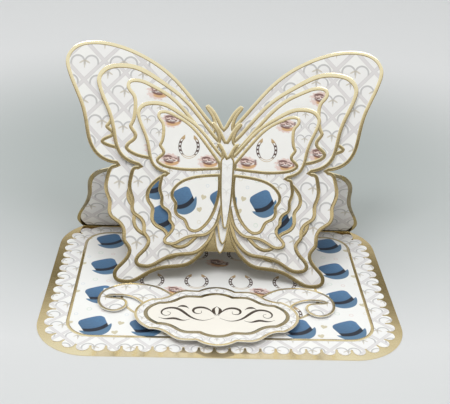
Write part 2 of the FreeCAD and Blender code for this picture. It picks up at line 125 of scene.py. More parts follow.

# The backdrop in metres: half its width, two places along its floor, where its floor
# starts to bend up, the bend's radius, and the depth and height of its top. A painted shadow,
# a darker oval, lies behind the card and fades between two distances, in which x counts less.
# In front of the card painted shade darkens it a little from one depth to another.
FLOOR_HALF, FLOOR_FRONT = 6.0, (-12.0, -1.0)
BEND_START, BEND, WALL_TOP = 1.2, 0.8, (2.0, 0.95)
# painted shadow: where the card's painted shadow lies on the floor and how far it reaches
SHADE_BACK, SHADE_WIDTH, SHADE_REACH = 0.20, 0.8, (0.06, 0.34)
# painted shade: how far in front the floor is painted darker, and how dark
FRONT_REACH, FRONT_SHADE = (0.02, -0.13), 0.25

# Pen strokes of the label's flourish, right half, in millimetres from its middle.
FLOURISH = [
    ((1.6, -3.6), (7.5, -6.4), (14.0, -4.2), (19.0, 1.2), (24.0, 5.2), (29.5, 4.6), (32.0, 0.9),
     (30.4, -2.2), (27.4, -1.8), (26.9, 0.6), (28.6, 1.5)),
    ((0.9, -1.4), (4.2, 4.4), (9.4, 6.8), (13.6, 4.2), (12.4, 0.7), (9.2, 0.9), (9.0, 3.3)),
    ((15.5, -5.6), (19.6, -6.9), (24.4, -5.2), (29.0, -5.9), (33.5, -4.4)),
    ((0.0, 8.2), (1.9, 5.0), (1.4, 1.4), (0.0, -1.2)),
    ((16.2, 5.2), (18.4, 7.3), (21.6, 7.4), (23.2, 5.8)),
]


# ---- sizes and colours


def colour(name, description, value):
    return FloatVectorProperty(name=name, description=description, subtype="COLOR",
                               default=value, min=0.0, max=1.0, size=3)


def number(name, description, value, **more):
    return FloatProperty(name=name, description=description, default=value, **more)


def length(name, description, value):
    return number(name, description, value, unit="LENGTH", precision=5)


def angle(name, description, degrees):
    return number(name, description, math.radians(degrees), subtype="ANGLE")


class FoilSettings(bpy.types.PropertyGroup):
    """Gold foil: the lines stamped round every topper, and the card blank itself."""

    wing_line: length("Wing line", "Width of the gold line round a wing and its windows", 0.0023)
    small_line: length("Small line", "The same on the small butterfly", 0.0020)
    panel_line: length("Panel line", "Width of the gold line round a base panel", 0.0019)
    label_line: length("Label line", "Width of the gold line round the label", 0.0016)
    label_ring: length("Label ring", "Width of the gold line round its plain panel", 0.0023)
    body_line: length("Body line", "Width of the gold line round a butterfly's body", 0.0011)
    crown: length("Crown", "Height of a foil line's rounded middle over the paper", 0.00003)
    gold: colour("Gold", "Colour of the foil", (0.80, 0.69, 0.46))
    # painted shade: the card's faces that look down are drawn in this darker gold
    underside_shade: colour("Underside shade", "Colour of the card's faces that look down", (0.26, 0.22, 0.13))
    roughness: number("Roughness", "Roughness of the foil", 0.09, min=0.0, max=1.0)


class PrintSettings(bpy.types.PropertyGroup):
    """Inks and sizes of the printed designs."""

    paper: colour("Paper", "White of the printed card", (0.92, 0.91, 0.905))
    ribbon: colour("Ribbon", "Grey of the lattice ribbons", (0.66, 0.625, 0.645))
    line: colour("Line", "Grey of the hearts' outlines", (0.50, 0.49, 0.50))
    sprig: colour("Sprig", "Beige of the sprigs in the hearts", (0.52, 0.45, 0.34))
    wash: colour("Wash", "Lilac tint inside the hearts", (0.84, 0.82, 0.85))
    felt: colour("Felt", "Blue of the hats' crowns", (0.070, 0.166, 0.315))
    brim: colour("Brim", "Blue of the hats' brims", (0.098, 0.200, 0.335))
    band: colour("Band", "Navy of the hats' bands", (0.006, 0.012, 0.030))
    iron: colour("Iron", "Dark brown of the horseshoes", (0.075, 0.035, 0.028))
    brass: colour("Brass", "Gold brown of the horseshoes' ends", (0.55, 0.38, 0.20))
    blush: colour("Blush", "Pink of the bows", (0.80, 0.60, 0.56))
    apricot: colour("Apricot", "Orange brown of the bows' lining", (0.68, 0.40, 0.18))
    rust: colour("Rust", "Brown of the bows' folds", (0.15, 0.050, 0.040))
    sand: colour("Sand", "Beige of the little hearts", (0.62, 0.55, 0.38))
    script: colour("Script", "Brown of the label's flourish", (0.045, 0.026, 0.016))
    cell_stretch: number("Lattice stretch", "Height of a lattice diamond over its width",
                         1.025, min=0.5, max=2.0)
    hat: length("Hat", "Half the width of a hat's brim on the base", 0.0100)
    shoe: length("Horseshoe", "Half the width of a horseshoe on the base", 0.0075)
    bow: length("Bow", "Half the width of a bow on the base", 0.0076)
    pen: length("Pen", "Width of a pen stroke where it is thickest", 0.0019)


class StageSettings(bpy.types.PropertyGroup):
    """Camera, backdrop and lamps."""

    camera_place: FloatVectorProperty(
        name="Camera place", description="Where the camera stands", subtype="XYZ",
        unit="LENGTH", default=(-0.01995, -0.4523, 0.2843))
    camera_turn: angle("Camera turn", "Turn to the right of straight back", 2.658)
    camera_tilt: angle("Camera tilt", "Tilt down from level", 26.54)
    camera_roll: angle("Camera roll", "Roll, its right side up", 2.619)
    lens: number("Lens", "Focal length in millimetres on 36 mm film", 68.57)
    backdrop: colour("Backdrop", "Colour of the floor and backdrop", (0.745, 0.74, 0.76))
    # painted shadow: the floor's colour in the card's painted shadow behind it and the painted
    # shade in front
    shade: colour("Shade", "Darker grey of the floor close behind the card", (0.40, 0.43, 0.43))
    key: number("Key lamp", "Power of the large soft lamp, in watts", 7.6)
    fill: number("Fill lamp", "Power of the lamp on the right, in watts", 3.4)
    sky: number("Sky", "Strength of the light from all round", 1.0)
    ceiling: colour("Ceiling", "Colour of the light from above", (0.95, 1.0, 1.0))
    room: colour("Room", "Colour of the room round the table", (0.17, 0.15, 0.095))
    strip: colour("Strip", "Colour of the light strip round the room", (0.70, 0.65, 0.52))
    back_drop: number("Lower at the back", "How much lower strip and ceiling sit at the back",
                      0.045)


SETTINGS = {"easel_foil": FoilSettings, "easel_print": PrintSettings,
            "easel_stage": StageSettings}


# ---- shader wiring


def folded(operation):
    """A method of Wiring: a node for each value after the first, on the one before it."""
    def method(self, *values):
        return reduce(lambda total, value: self.math(operation, total, value), values)
    return method


class Wiring:
    """Adds nodes to one tree; a plain value goes on the socket, a socket is linked."""

    plus, times, most, least = map(folded, ("ADD", "MULTIPLY", "MAXIMUM", "MINIMUM"))

    def __init__(self, tree):
        self.tree = tree

    def feed(self, socket, value):
        if isinstance(value, bpy.types.NodeSocket):
            self.tree.links.new(value, socket)
        elif socket.type == "RGBA":
            socket.default_value = (*value, 1.0)
        else:
            socket.default_value = value

    def feed_all(self, inputs, values):
        for name, value in values.items():
            self.feed(inputs[name], value)

    def add(self, kind, values=None, **settings):
        """A new node with its settings, and what its inputs take."""
        node = self.tree.nodes.new(kind)
        for name, value in settings.items():
            setattr(node, name, value)
        self.feed_all(node.inputs, values or {})
        return node

    def node(self, kind, values, out=0, **settings):
        return self.add(kind, values, **settings).outputs[out]

    def use(self, name, place, **more):
        """The outputs, by name, of a shared group at a place."""
        return self.add("ShaderNodeGroup", {"Vector": place, **more},
                        node_tree=shared_group(name)).outputs

    def math(self, operation, *values):
        return self.node("ShaderNodeMath", dict(enumerate(values)), operation=operation)

    def minus(self, left, right):
        return self.math("SUBTRACT", left, right)

    def size(self, value):
        return self.math("ABSOLUTE", value)

    def apart(self, left, right):
        return self.size(self.minus(left, right))

    def square(self, value):
        return self.math("POWER", value, 2.0)

    def eased(self, value, start, end, low=0.0, high=1.0):
        """From low to high, smoothly, while the value goes from start to end."""
        return self.node("ShaderNodeMapRange", {0: value, 1: start, 2: end, 3: low, 4: high},
                         interpolation_type="SMOOTHSTEP")

    def below(self, left, right, soft=0.02):
        """One where left is under right, with a narrow soft edge."""
        return self.eased(self.minus(right, left), -soft, soft)

    def split(self, vector):
        return self.add("ShaderNodeSeparateXYZ", {0: vector}).outputs[:3]

    def join(self, x, y):
        return self.node("ShaderNodeCombineXYZ", {0: x, 1: y})

    def vector(self, operation, *values, out=0):
        return self.node("ShaderNodeVectorMath", dict(enumerate(values)), out,
                         operation=operation)

    def length(self, vector):
        return self.vector("LENGTH", vector, out=1)

    def scaled(self, vector, *scales):
        return self.vector("MULTIPLY", vector, scales)

    def turned(self, vector, angle):
        return self.node("ShaderNodeVectorRotate", {"Vector": vector, "Angle": angle},
                         rotation_type="Z_AXIS")

    def place(self, kind="Object"):
        return self.add("ShaderNodeTexCoord").outputs[kind]

    def on_sheet(self, plane):
        """Object coordinates in a sheet's own axes: across, up and out, in metres."""
        axes = Matrix((plane.across, plane.up, plane.normal)).transposed()
        return self.node("ShaderNodeMapping",
                         {"Vector": self.place(), "Location": tuple(plane.origin),
                          "Rotation": tuple(axes.to_euler())}, vector_type="TEXTURE")

    def noise(self, vector, scale, detail, roughness):
        return self.node("ShaderNodeTexNoise", {"Vector": vector, "Scale": scale,
                                                "Detail": detail, "Roughness": roughness})

    def bump(self, height, strength, distance):
        return self.node("ShaderNodeBump", {"Height": height, "Strength": strength,
                                            "Distance": distance})

    def mix(self, share, under, over, **settings):
        return self.node("ShaderNodeMix", {0: share, 6: under, 7: over}, out=2,
                         data_type="RGBA", **settings)

    def layers(self, ink, *layers):
        """Ink with layers over it, each a share and a colour."""
        for share, tint in layers:
            ink = self.mix(share, ink, tint)
        return ink

    def tinted(self, ink, tone):
        """A colour times a plain number that changes over the surface."""
        grey = self.node("ShaderNodeCombineColor", {0: tone, 1: tone, 2: tone})
        return self.mix(1.0, ink, grey, blend_type="MULTIPLY")


def fill_grain(w, given):
    """Card stock: faint cloudy tone, fine fibres, and a slow warp of the whole sheet."""
    place = given["Vector"]
    cloud = w.noise(place, 60.0, 3.0, 0.6)
    fibres = w.noise(w.scaled(place, 1.0, 2.2, 1.0), 2600.0, 4.0, 0.65)
    warp = w.noise(place, 22.0, 1.0, 0.4)
    tone = w.plus(w.times(w.minus(cloud, 0.5), 0.05),
                  w.times(w.minus(fibres, 0.5), 0.05, 0.6), 1.0)
    return {"Tone": tone, "Height": w.plus(w.times(fibres, 0.25), warp),
            "Gloss": w.plus(w.times(cloud, 0.12), 0.36)}


def fill_foil(w, given):
    """Mirror card: warm and pale patches, fine rolled streaks, small dents."""
    place = given["Vector"]
    patch = w.noise(place, 34.0, 2.0, 0.5)
    streak = w.noise(w.scaled(place, 0.25, 1.0, 1.0), 1500.0, 3.0, 0.6)
    dent = w.noise(place, 95.0, 2.0, 0.45)
    rough = w.plus(given["Roughness"], w.times(w.minus(streak, 0.5), 0.08),
                   w.times(w.minus(patch, 0.5), 0.06))
    return {"Color": w.mix(patch, given["Gold"], given["Pale"]), "Roughness": rough,
            "Height": w.plus(w.times(streak, 0.06), w.times(dent, given["Dents"]))}


def fill_lattice(w, given):
    """Diamond cells with ribbons along their sides and a heart in the lower half of each.

    In half-cell units, u = (x + y) / 2 and v = (y - x) / 2 are whole along the ribbons.
    In a cell, across = u - v and along = u + v from its lowest corner. A lobe of the heart
    is a ring round a point either side of the middle, and its sides are the ribbons. The
    sprig is two drooping ellipses and an upright one; the wash is the heart's inside.
    """
    x, y, _ = w.split(given["Vector"])
    u = w.math("FRACT", w.times(w.plus(x, y), 0.5))
    v = w.math("FRACT", w.times(w.minus(y, x), 0.5))
    across, along = w.apart(u, v), w.plus(u, v)
    side = w.least(u, w.minus(1.0, u), v, w.minus(1.0, v))
    ribbon = w.below(side, 0.072, 0.018)
    rim = w.times(ribbon, w.below(0.046, side, 0.012))
    hatch = w.math("SINE", w.times(w.minus(u, v), 150.0))
    shade = w.times(ribbon, w.plus(0.68, w.times(hatch, 0.20), w.times(rim, 0.25)))
    in_cell = w.join(across, along)
    lobe = w.length(w.vector("SUBTRACT", in_cell, (0.35, 0.90, 0.0)))
    line = w.times(w.below(w.apart(lobe, 0.34), 0.045, 0.02), w.below(0.80, along, 0.08))
    leaf_x, leaf_y, _ = w.split(w.turned(w.vector("SUBTRACT", in_cell, (0.13, 0.93, 0.0)), 0.5))
    leaf = w.plus(w.square(w.times(leaf_x, 1 / 0.17)), w.square(w.times(leaf_y, 1 / 0.045)))
    stem = w.plus(w.square(w.times(across, 1 / 0.03)),
                  w.square(w.times(w.minus(along, 0.78), 1 / 0.18)))
    sprig = w.below(w.least(leaf, stem), 1.0, 0.4)
    inside = w.most(w.below(lobe, 0.32, 0.05), w.below(along, 0.88, 0.1))
    return {"Ribbon": shade, "Line": line, "Sprig": sprig,
            "Wash": w.times(inside, w.minus(1.0, ribbon)),
            "Relief": w.plus(w.times(ribbon, 0.5), line, sprig)}


def fill_cells(w, given):
    """Repeats a motif: the place inside a cell, from its middle, turned by an angle."""
    half, back = (w.scaled(given["Pitch"], part, part, part) for part in (0.5, -0.5))
    local = w.vector("WRAP", w.vector("SUBTRACT", given["Vector"], given["Start"]), half, back)
    return {"Local": w.vector("DIVIDE", w.turned(local, given["Turn"]), given["Size"])}


def fill_hat(w, given):
    """A hat in brim halves: flared crown with a domed top, a band, a brim with raised tips.

    The crown's half width is 0.75 + 0.08 y. Across it, t is x over that half width, and its
    top is 0.84 - 0.08 t squared - 0.26 t to the eighth. Its foot, the band and both edges
    of the brim are curves of the form a + b x squared + c x to the fourth.
    """
    x, y, _ = w.split(given["Vector"])
    x2 = w.times(x, x)
    x4 = w.times(x2, x2)
    wide = w.size(x)
    foot = w.plus(w.times(x2, 0.42), -0.58)
    half = w.plus(w.times(y, 0.08), 0.75)
    t2 = w.square(w.math("DIVIDE", wide, half))
    top = w.plus(w.times(t2, -0.08), w.times(w.math("POWER", t2, 4.0), -0.26), 0.84)
    above, within = w.below(foot, y), w.below(wide, half)
    low = w.plus(w.times(x2, 0.46), w.times(x4, 0.44), -1.06)
    high = w.plus(w.times(x2, 0.42), w.times(x4, -0.10), -0.47)
    weave = w.noise(w.scaled(given["Vector"], 1.0, 2.0, 1.0), 5.0, 3.0, 0.75)
    return {"Crown": w.times(within, w.below(y, top), above),
            "Band": w.times(w.below(y, w.plus(foot, 0.31)), above, within),
            "Brim": w.times(w.below(low, y), w.below(y, high), w.below(wide, 0.95, 0.04)),
            "Light": w.plus(w.times(y, 0.16), w.times(x, 0.22), w.times(weave, 0.70), 0.62)}


def fill_shoe(w, given):
    """A horseshoe in half widths, open at the top: a ring 1 wide and 1.2 high.

    Its radius is the length of (x, y / 1.2). Holes are short bars near radius 0.87.
    """
    x, y, _ = w.split(given["Vector"])
    off = w.apart(w.length(w.join(x, w.times(y, 1 / 1.2))), 0.87)
    thick = w.plus(0.135, w.times(w.below(y, -0.62, 0.2), -0.05))
    gap = w.times(w.below(w.size(x), 0.40), w.below(0.0, y))
    step = w.apart(w.math("FRACT", w.times(y, 2.6)), 0.5)
    hole = w.times(w.below(step, 0.26, 0.06), w.below(off, 0.06), w.below(w.size(y), 0.72))
    foot = w.times(w.below(y, -0.78, 0.08), w.below(off, 0.045))
    return {"Shoe": w.times(w.below(off, thick, 0.03), w.minus(1.0, gap)),
            "Hole": w.most(hole, foot),
            "Bright": w.most(w.below(0.62, y, 0.25), w.below(y, -0.80, 0.12))}


def fill_bow(w, given):
    """A draped bow in half widths: a ragged oval with a warm crescent at its foot, a thin
    arc at its top, a dark hook at its right end, and dark dashes between.

    The oval is x squared + 2.2 y squared under 0.9. The crescent is 0.30 thick and lies
    under the curve -0.20 + 0.45 (x - 0.1) squared; the arc is 0.40 - 0.6 (x + 0.2) squared.
    """
    x, y, _ = w.split(given["Vector"])
    ragged = w.noise(w.scaled(given["Vector"], 1.0, 1.8, 1.0), 2.6, 2.0, 0.6)
    small = w.noise(w.scaled(given["Vector"], 2.2, 5.0, 1.0), 1.6, 1.0, 0.5)
    oval = w.plus(w.times(x, x), w.times(y, y, 2.2), w.times(w.minus(ragged, 0.5), 1.6))
    shape = w.below(oval, 0.90, 0.22)
    low = w.plus(w.times(w.square(w.plus(x, -0.1)), 0.45), -0.20)
    high = w.plus(w.times(w.square(w.plus(x, 0.2)), -0.60), 0.40)

    def stroke(curve, thick, middle, reach):
        return w.times(w.below(w.apart(y, curve), thick, 0.04),
                       w.below(w.apart(x, middle), reach, 0.12))

    dashes = w.times(stroke(0.12, 0.20, 0.05, 0.65), w.below(0.51, small, 0.03))
    return {"Bow": w.times(shape, 0.9), "Lining": stroke(w.plus(low, -0.16), 0.15, 0.22, 0.64),
            "Light": w.times(shape, stroke(-0.02, 0.08, 0.0, 0.8), 0.8),
            "Fold": w.most(stroke(low, 0.095, -0.1, 0.46), dashes,
                           stroke(high, 0.09, -0.2, 0.42), stroke(0.14, 0.26, 0.82, 0.09))}


def fill_heart(w, given):
    """A little heart in half widths: x squared plus (1.2 y - 0.8 root of x) squared under 1."""
    x, y, _ = w.split(given["Vector"])
    rise = w.minus(w.times(y, 1.2), w.times(w.math("SQRT", w.size(x)), 0.8))
    return {"Heart": w.below(w.plus(w.times(x, x), w.times(rise, rise)), 1.0, 0.2)}


def fill_rings(w, given):
    """A faint ring, in half widths."""
    return {"Ring": w.below(w.apart(w.length(given["Vector"]), 0.8), 0.16, 0.1)}


# Shared groups: what fills each, and the kinds of its inputs beside the place.
SOCKETS = {"VALUE": "NodeSocketFloat", "VECTOR": "NodeSocketVector", "RGBA": "NodeSocketColor"}
GROUPS = {
    "Card grain": (fill_grain, {}),
    "Gold foil": (fill_foil, {"Gold": "RGBA", "Pale": "RGBA", "Roughness": "VALUE",
                              "Dents": "VALUE"}),
    "Hearts in a lattice": (fill_lattice, {}),
    "Repeated motif": (fill_cells, {"Pitch": "VECTOR", "Start": "VECTOR", "Turn": "VALUE",
                                    "Size": "VECTOR"}),
    "Top hat": (fill_hat, {}),
    "Horseshoe": (fill_shoe, {}),
    "Draped bow": (fill_bow, {}),
    "Little heart": (fill_heart, {}),
    "Faint ring": (fill_rings, {}),
}


def shared_group(name):
    """The node group of a name, made on its first use; fill gives its outputs by name."""
    if name in bpy.data.node_groups:
        return bpy.data.node_groups[name]
    fill, takes = GROUPS[name]
    tree = bpy.data.node_groups.new(name, "ShaderNodeTree")
    for label, kind in {"Vector": "VECTOR", **takes}.items():
        tree.interface.new_socket(name=label, in_out="INPUT", socket_type=SOCKETS[kind])
    w = Wiring(tree)
    gives = fill(w, w.add("NodeGroupInput").outputs)
    for label, value in gives.items():
        tree.interface.new_socket(name=label, in_out="OUTPUT", socket_type=SOCKETS[value.type])
    w.add("NodeGroupOutput", gives)
    return tree


# ---- materials


def new_material(name):
    """An empty material with one Principled shader, its wiring and that shader's inputs."""
    material = bpy.data.materials.new(name)
    material.use_nodes = True
    shader = next(n for n in material.node_tree.nodes if n.type == "BSDF_PRINCIPLED")
    return material, Wiring(material.node_tree), shader.inputs


def paper_finish(w, inputs, ink, relief=0.0):
    """Ink on card: the grain's tone over the ink, its gloss, and its fibres as bump."""
    grain = w.use("Card grain", w.place())
    w.feed_all(inputs, {"Base Color": w.tinted(ink, grain["Tone"]), "Roughness": grain["Gloss"],
                        "Normal": w.bump(w.plus(grain["Height"], relief), strength=0.25,
                                         distance=0.00025),
                        "Coat Weight": 0.12, "Coat Roughness": 0.25})


def print_lattice(plane, name, prints, wide, start, strength=1.0):
    """Prints a sheet with the lattice: its diamonds' width, a heart's tip, the ink's strength."""
    material, w, inputs = new_material(name)
    moved = w.vector("SUBTRACT", w.on_sheet(plane), (*start, 0.0))
    cell = (wide / 2, wide / 2 * prints.cell_stretch, 1.0)
    lattice = w.use("Hearts in a lattice", w.vector("DIVIDE", moved, cell))
    ink = w.layers(prints.paper, *(
        (w.times(lattice[part], share * strength), tint)
        for share, part, tint in ((0.35, "Wash", prints.wash), (0.95, "Ribbon", prints.ribbon),
                                  (0.85, "Line", prints.line), (0.62, "Sprig", prints.sprig))))
    face = plane.front_share(w)
    paper_finish(w, inputs, w.mix(face, prints.paper, ink),
                 relief=w.times(lattice["Relief"], face, 0.5))
    dress(plane.node, material)


def lattice_sheet(node, prints):
    """Prints a sheet as the table of lattices says."""
    name, looks, wide, start = LATTICES[node]
    plane = Plane(node, looks)
    print_lattice(plane, name, prints, wide, start)
    return plane


def motif(w, flat, at, turn, size, pitch=(1.0, 1.0)):
    """A motif's own coordinates at a place on a sheet, repeated at a pitch in metres."""
    return w.use("Repeated motif", flat, Pitch=(*pitch, 1.0), Start=(*at, 0.0), Turn=turn,
                 Size=(size, size, 1.0))["Local"]


def with_hat(w, prints, ink, place):
    """A blue hat printed over the ink."""
    hat = w.use("Top hat", place)
    return w.layers(ink, (hat["Brim"], prints.brim),
                    (hat["Crown"], w.tinted(prints.felt, hat["Light"])),
                    (hat["Band"], prints.band))


def with_bow(w, prints, ink, place):
    """A pink bow with a warm lining printed over the ink."""
    bow = w.use("Draped bow", place)
    return w.layers(ink, (bow["Bow"], prints.blush), (bow["Light"], prints.paper),
                    (w.times(bow["Lining"], 0.9), prints.apricot),
                    (w.times(bow["Fold"], 0.9), prints.rust))


def with_shoe(w, prints, ink, place):
    """A brown horseshoe with pale ends printed over the ink."""
    shoe = w.use("Horseshoe", place)
    return w.layers(ink, (shoe["Shoe"], w.mix(shoe["Bright"], prints.iron, prints.brass)),
                    (shoe["Hole"], prints.paper))


def with_hearts_and_rings(w, prints, flat, start, pitch, size):
    """White card with pairs of beige hearts and faint rings between a print's hats.

    Places are shares of the pitch from a hat, and half widths are shares of the hat's.
    """
    ink = prints.paper

    def shape(name, place, turn, half):
        at = [first + share * step for first, share, step in zip(start, place, pitch)]
        return w.use(name, motif(w, flat, at, turn, half * size, pitch))[0]

    for place, half, tint in (((0.12, 0.46), 0.14, (0.80, 0.62, 0.60)),
                              ((-0.16, 0.50), 0.17, (0.66, 0.76, 0.68)),
                              ((0.42, 0.52), 0.15, (0.76, 0.70, 0.60)),
                              ((0.60, 0.34), 0.13, (0.66, 0.72, 0.80))):
        ink = w.mix(w.times(shape("Faint ring", place, 0.0, half), 0.65), ink, tint)
    for place, turn in (((0.50, 0.06), 0.3), ((0.42, -0.22), -0.2)):
        ink = w.mix(w.times(shape("Little heart", place, turn, 0.19), 0.9), ink, prints.sand)
    return ink


def window_print(w, prints, plane, wing, kind):
    """Ink of a wing's windows: hats in the lower ones, bows and a horseshoe in the upper."""
    flat, size = w.on_sheet(plane), wing["motif"] * plane.grid
    hat, bow, shoe = WING_HAT * size, WING_BOW * size, WING_SHOE * size
    if kind == "lower":
        ink = with_hearts_and_rings(w, prints, flat, plane.spot(wing["hats"][-1]),
                                    plane.spot(WING_HAT_PITCH), hat)
        for spot in wing["hats"]:
            ink = with_hat(w, prints, ink, motif(w, flat, plane.spot(spot), WING_HAT_TURN, hat))
        return ink
    ink = with_bow(w, prints, prints.paper, motif(w, flat, plane.spot(wing["bows"]), 0.0, bow,
                                                  plane.spot(WING_BOW_PITCH)))
    return with_shoe(w, prints, ink, motif(w, flat, plane.spot(wing["shoes"]), 0.0, shoe,
                                           plane.spot(WING_SHOE_PITCH)))


def hat_print(w, prints, flat):
    """Ink of the hat panel."""
    start, turn, pitch = BASE_HATS
    ink = with_hearts_and_rings(w, prints, flat, start, pitch, prints.hat)
    return with_hat(w, prints, ink, motif(w, flat, start, turn, prints.hat, pitch))


def horseshoe_print(w, prints, flat):
    """Ink of the horseshoe panel: two rows of bows, and horseshoes."""
    starts, turn, pitch = BASE_BOWS
    ink = prints.paper
    for start in starts:
        ink = with_bow(w, prints, ink, motif(w, flat, start, turn, prints.bow, pitch))
    start, turn, pitch = BASE_SHOES
    return with_shoe(w, prints, ink, motif(w, flat, start, turn, prints.shoe, pitch))


def gold_material(name, foil, dents=0.5, lean=(0.0, 0.0, 0.0), shade=1.0, under=False):
    """Gold foil or mirror card; shade below one darkens it as painted shade, and its face is
    tilted towards lean.

    With under, the faces that look down are painted darker, as painted shade.
    """
    material, w, inputs = new_material(name)
    # painted shade: a shade below one makes a darker copy of the gold
    gold = [shade * part for part in foil.gold]
    pale = [min(1.0, part * 1.12 + 0.03 * shade) for part in gold]
    found = w.use("Gold foil", w.place(), Gold=gold, Pale=pale, Roughness=foil.roughness,
                  Dents=dents)
    tint = found["Color"]
    # painted shade: faces that look down take the darker underside colour
    if under:
        _, _, rise = w.split(w.place("Normal"))
        tint = w.mix(w.below(rise, -0.30, 0.1), tint, foil.underside_shade)
    face = w.vector("ADD", w.bump(found["Height"], strength=0.2, distance=0.0004),
                    tuple(lean))
    w.feed_all(inputs, {"Base Color": tint, "Roughness": found["Roughness"],
                        "Normal": w.vector("NORMALIZE", face), "Metallic": 1.0})
    return material


def foam_material():
    """White closed-cell foam tape: tiny pores."""
    material, w, inputs = new_material("foam_tape")
    pores = w.node("ShaderNodeTexVoronoi", {"Vector": w.place(), "Scale": 3500.0})
    tint = w.mix(w.below(pores, 0.28, 0.1), (0.86, 0.86, 0.84), (0.62, 0.62, 0.60))
    w.feed_all(inputs, {"Base Color": tint, "Roughness": 0.9,
                        "Normal": w.bump(pores, strength=0.5, distance=0.0001)})
    return material


def dress(node, material):
    """Gives a sheet of the card a new finish in its material slot."""
    mesh = NODES[node].data
    if mesh.materials:
        mesh.materials[0] = material
    else:
        mesh.materials.append(material)


# ---- sheets and outlines


class Plane:
    """A flat sheet of the card: its printed face's normal, own axes and outline.

    The sheets are the same left and right, so the main axes of a sheet's outline are its
    own across and up, and its middle line runs through the outline's middle. The origin is
    on that line, at the lowest point.
    """

    def __init__(self, node, looks):
        self.node = node
        mesh = NODES[node].data
        mesh.calc_loop_triangles()
        co = np.empty(len(mesh.vertices) * 3)
        mesh.vertices.foreach_get("co", co)
        tri = np.empty(len(mesh.loop_triangles) * 3, int)
        mesh.loop_triangles.foreach_get("vertices", tri)
        corners = co.reshape(-1, 3)[tri].reshape(-1, 3, 3)
        cross = np.cross(corners[:, 1] - corners[:, 0], corners[:, 2] - corners[:, 0])
        area = np.linalg.norm(cross, axis=1)
        unit = cross / np.maximum(area, TINY ** 2)[:, None]
        toward = unit @ np.array(looks) / np.linalg.norm(looks)
        kinds, which = np.unique(unit.round(3), axis=0, return_inverse=True)
        sums = np.bincount(which.ravel(), weights=area * (toward > 0.5))
        self.normal = kinds[sums.argmax()] / np.linalg.norm(kinds[sums.argmax()])
        self.face = corners[unit @ self.normal > 0.999]
        level = self.normal * (self.face.reshape(-1, 3) @ self.normal).max()
        self.set_axes(np.array([1.0, 0.0, 0.0]), level)
        rim = evenly(self.loops()[0], RIM_STEP)
        spread = np.cov(rim.T)
        sign = 1.0 if spread[0, 0] > spread[1, 1] else -1.0
        turn = math.atan2(sign * 2 * spread[0, 1], abs(spread[0, 0] - spread[1, 1])) / 2
        middle = self.place(rim.mean(axis=0)[None])[0]
        self.set_axes(math.cos(turn) * self.across + math.sin(turn) * self.up, middle)
        rim = self.loops()[0]
        self.origin = self.place(np.array([[0.0, rim[:, 1].min()]]))[0]
        self.height = np.ptp(rim[:, 1])
        self.grid = np.ptp(rim[:, 0]) / 2 / GRID

    def set_axes(self, across, origin):
        self.across = across
        self.up = np.cross(self.normal, across)
        self.origin = origin

    def place(self, flat, out=0.0):
        """Points of the sheet's plane, two numbers each in metres, as places in space."""
        return (self.origin + flat[..., :1] * self.across + flat[..., 1:2] * self.up
                + np.asarray(out)[..., None] * self.normal)

    def spot(self, place):
        """A place on a butterfly's grid, in metres."""
        return tuple(part * self.grid for part in place)

    def front_share(self, w):
        """One on the printed face, zero on the edges and the back."""
        toward = w.vector("DOT_PRODUCT", w.place("Normal"), tuple(self.normal), out=1)
        return w.math("GREATER_THAN", toward, 0.5)

    def loops(self):
        """The face's outlines in its own plane, anticlockwise outside, longest first.

        Corners at one place are one point. An edge that only one triangle has is on an
        outline. Each point's rank along its outline comes from jumps that double in length.
        """
        flat = np.stack([(self.face - self.origin) @ self.across,
                         (self.face - self.origin) @ self.up], -1).reshape(-1, 2)
        points, names = np.unique(flat.round(7), axis=0, return_inverse=True)
        names = names.ravel().reshape(-1, 3)
        names = names[(names != np.roll(names, 1, axis=1)).all(axis=1)]
        edges = np.concatenate([names[:, [0, 1]], names[:, [1, 2]], names[:, [2, 0]]])
        key = np.sort(edges, axis=1) @ np.array([len(points), 1])
        _, first, count = np.unique(key, return_index=True, return_counts=True)
        rim = edges[first[count == 1]]
        follow = np.full(len(points), -1)
        follow[rim[:, 0]] = rim[:, 1]
        found = []
        left = follow >= 0
        while left.any():
            last = np.flatnonzero(follow == left.argmax())[0]
            jump = follow.copy()
            jump[last] = last
            ahead = np.ones(len(points), int)
            ahead[last] = 0
            for _ in range(int(math.log2(len(points))) + 2):
                ahead = ahead + ahead[jump]
                jump = jump[jump]
            members = np.flatnonzero((jump == last) & left)
            found.append(points[members[np.argsort(-ahead[members])]])
            left[members] = False
        return sorted(found, key=len, reverse=True)


def evenly(points, step):
    """The closed outline with points an equal distance apart, about the step."""
    ring = np.concatenate([points, points[:1]])
    lengths = np.linalg.norm(np.diff(ring, axis=0), axis=1)
    travelled = np.concatenate([[0.0], np.cumsum(lengths)])
    count = max(8, int(round(travelled[-1] / step)))
    at = np.linspace(0.0, travelled[-1], count, endpoint=False)
    return np.stack([np.interp(at, travelled, ring[:, i]) for i in range(2)], -1)


def spline(points, count):
    """A natural cubic curve through points, by distance between them, at even steps.

    The second derivatives solve the usual three-term system with zero at both ends.
    """
    points = np.asarray(points, float)
    knots = np.concatenate([[0.0], np.cumsum(np.linalg.norm(np.diff(points, axis=0), axis=1))])
    gaps = np.diff(knots)
    slopes = np.diff(points, axis=0) / gaps[:, None]
    size = len(points)
    system = np.eye(size)
    inner = np.arange(1, size - 1)
    system[inner, inner - 1] = gaps[:-1]
    system[inner, inner] = 2 * (gaps[:-1] + gaps[1:])
    system[inner, inner + 1] = gaps[1:]
    right = np.zeros((size, 2))
    right[1:-1] = 6 * np.diff(slopes, axis=0)
    bend = np.linalg.solve(system, right)
    at = np.linspace(0.0, knots[-1], count)
    span = np.clip(np.searchsorted(knots, at, side="right") - 1, 0, size - 2)
    ahead = (knots[span + 1] - at)[:, None]
    behind = (at - knots[span])[:, None]
    gap = gaps[span][:, None]
    return (bend[span] * ahead ** 3 + bend[span + 1] * behind ** 3) / (6 * gap) \
        + (points[span] / gap - bend[span] * gap / 6) * ahead \
        + (points[span + 1] / gap - bend[span + 1] * gap / 6) * behind


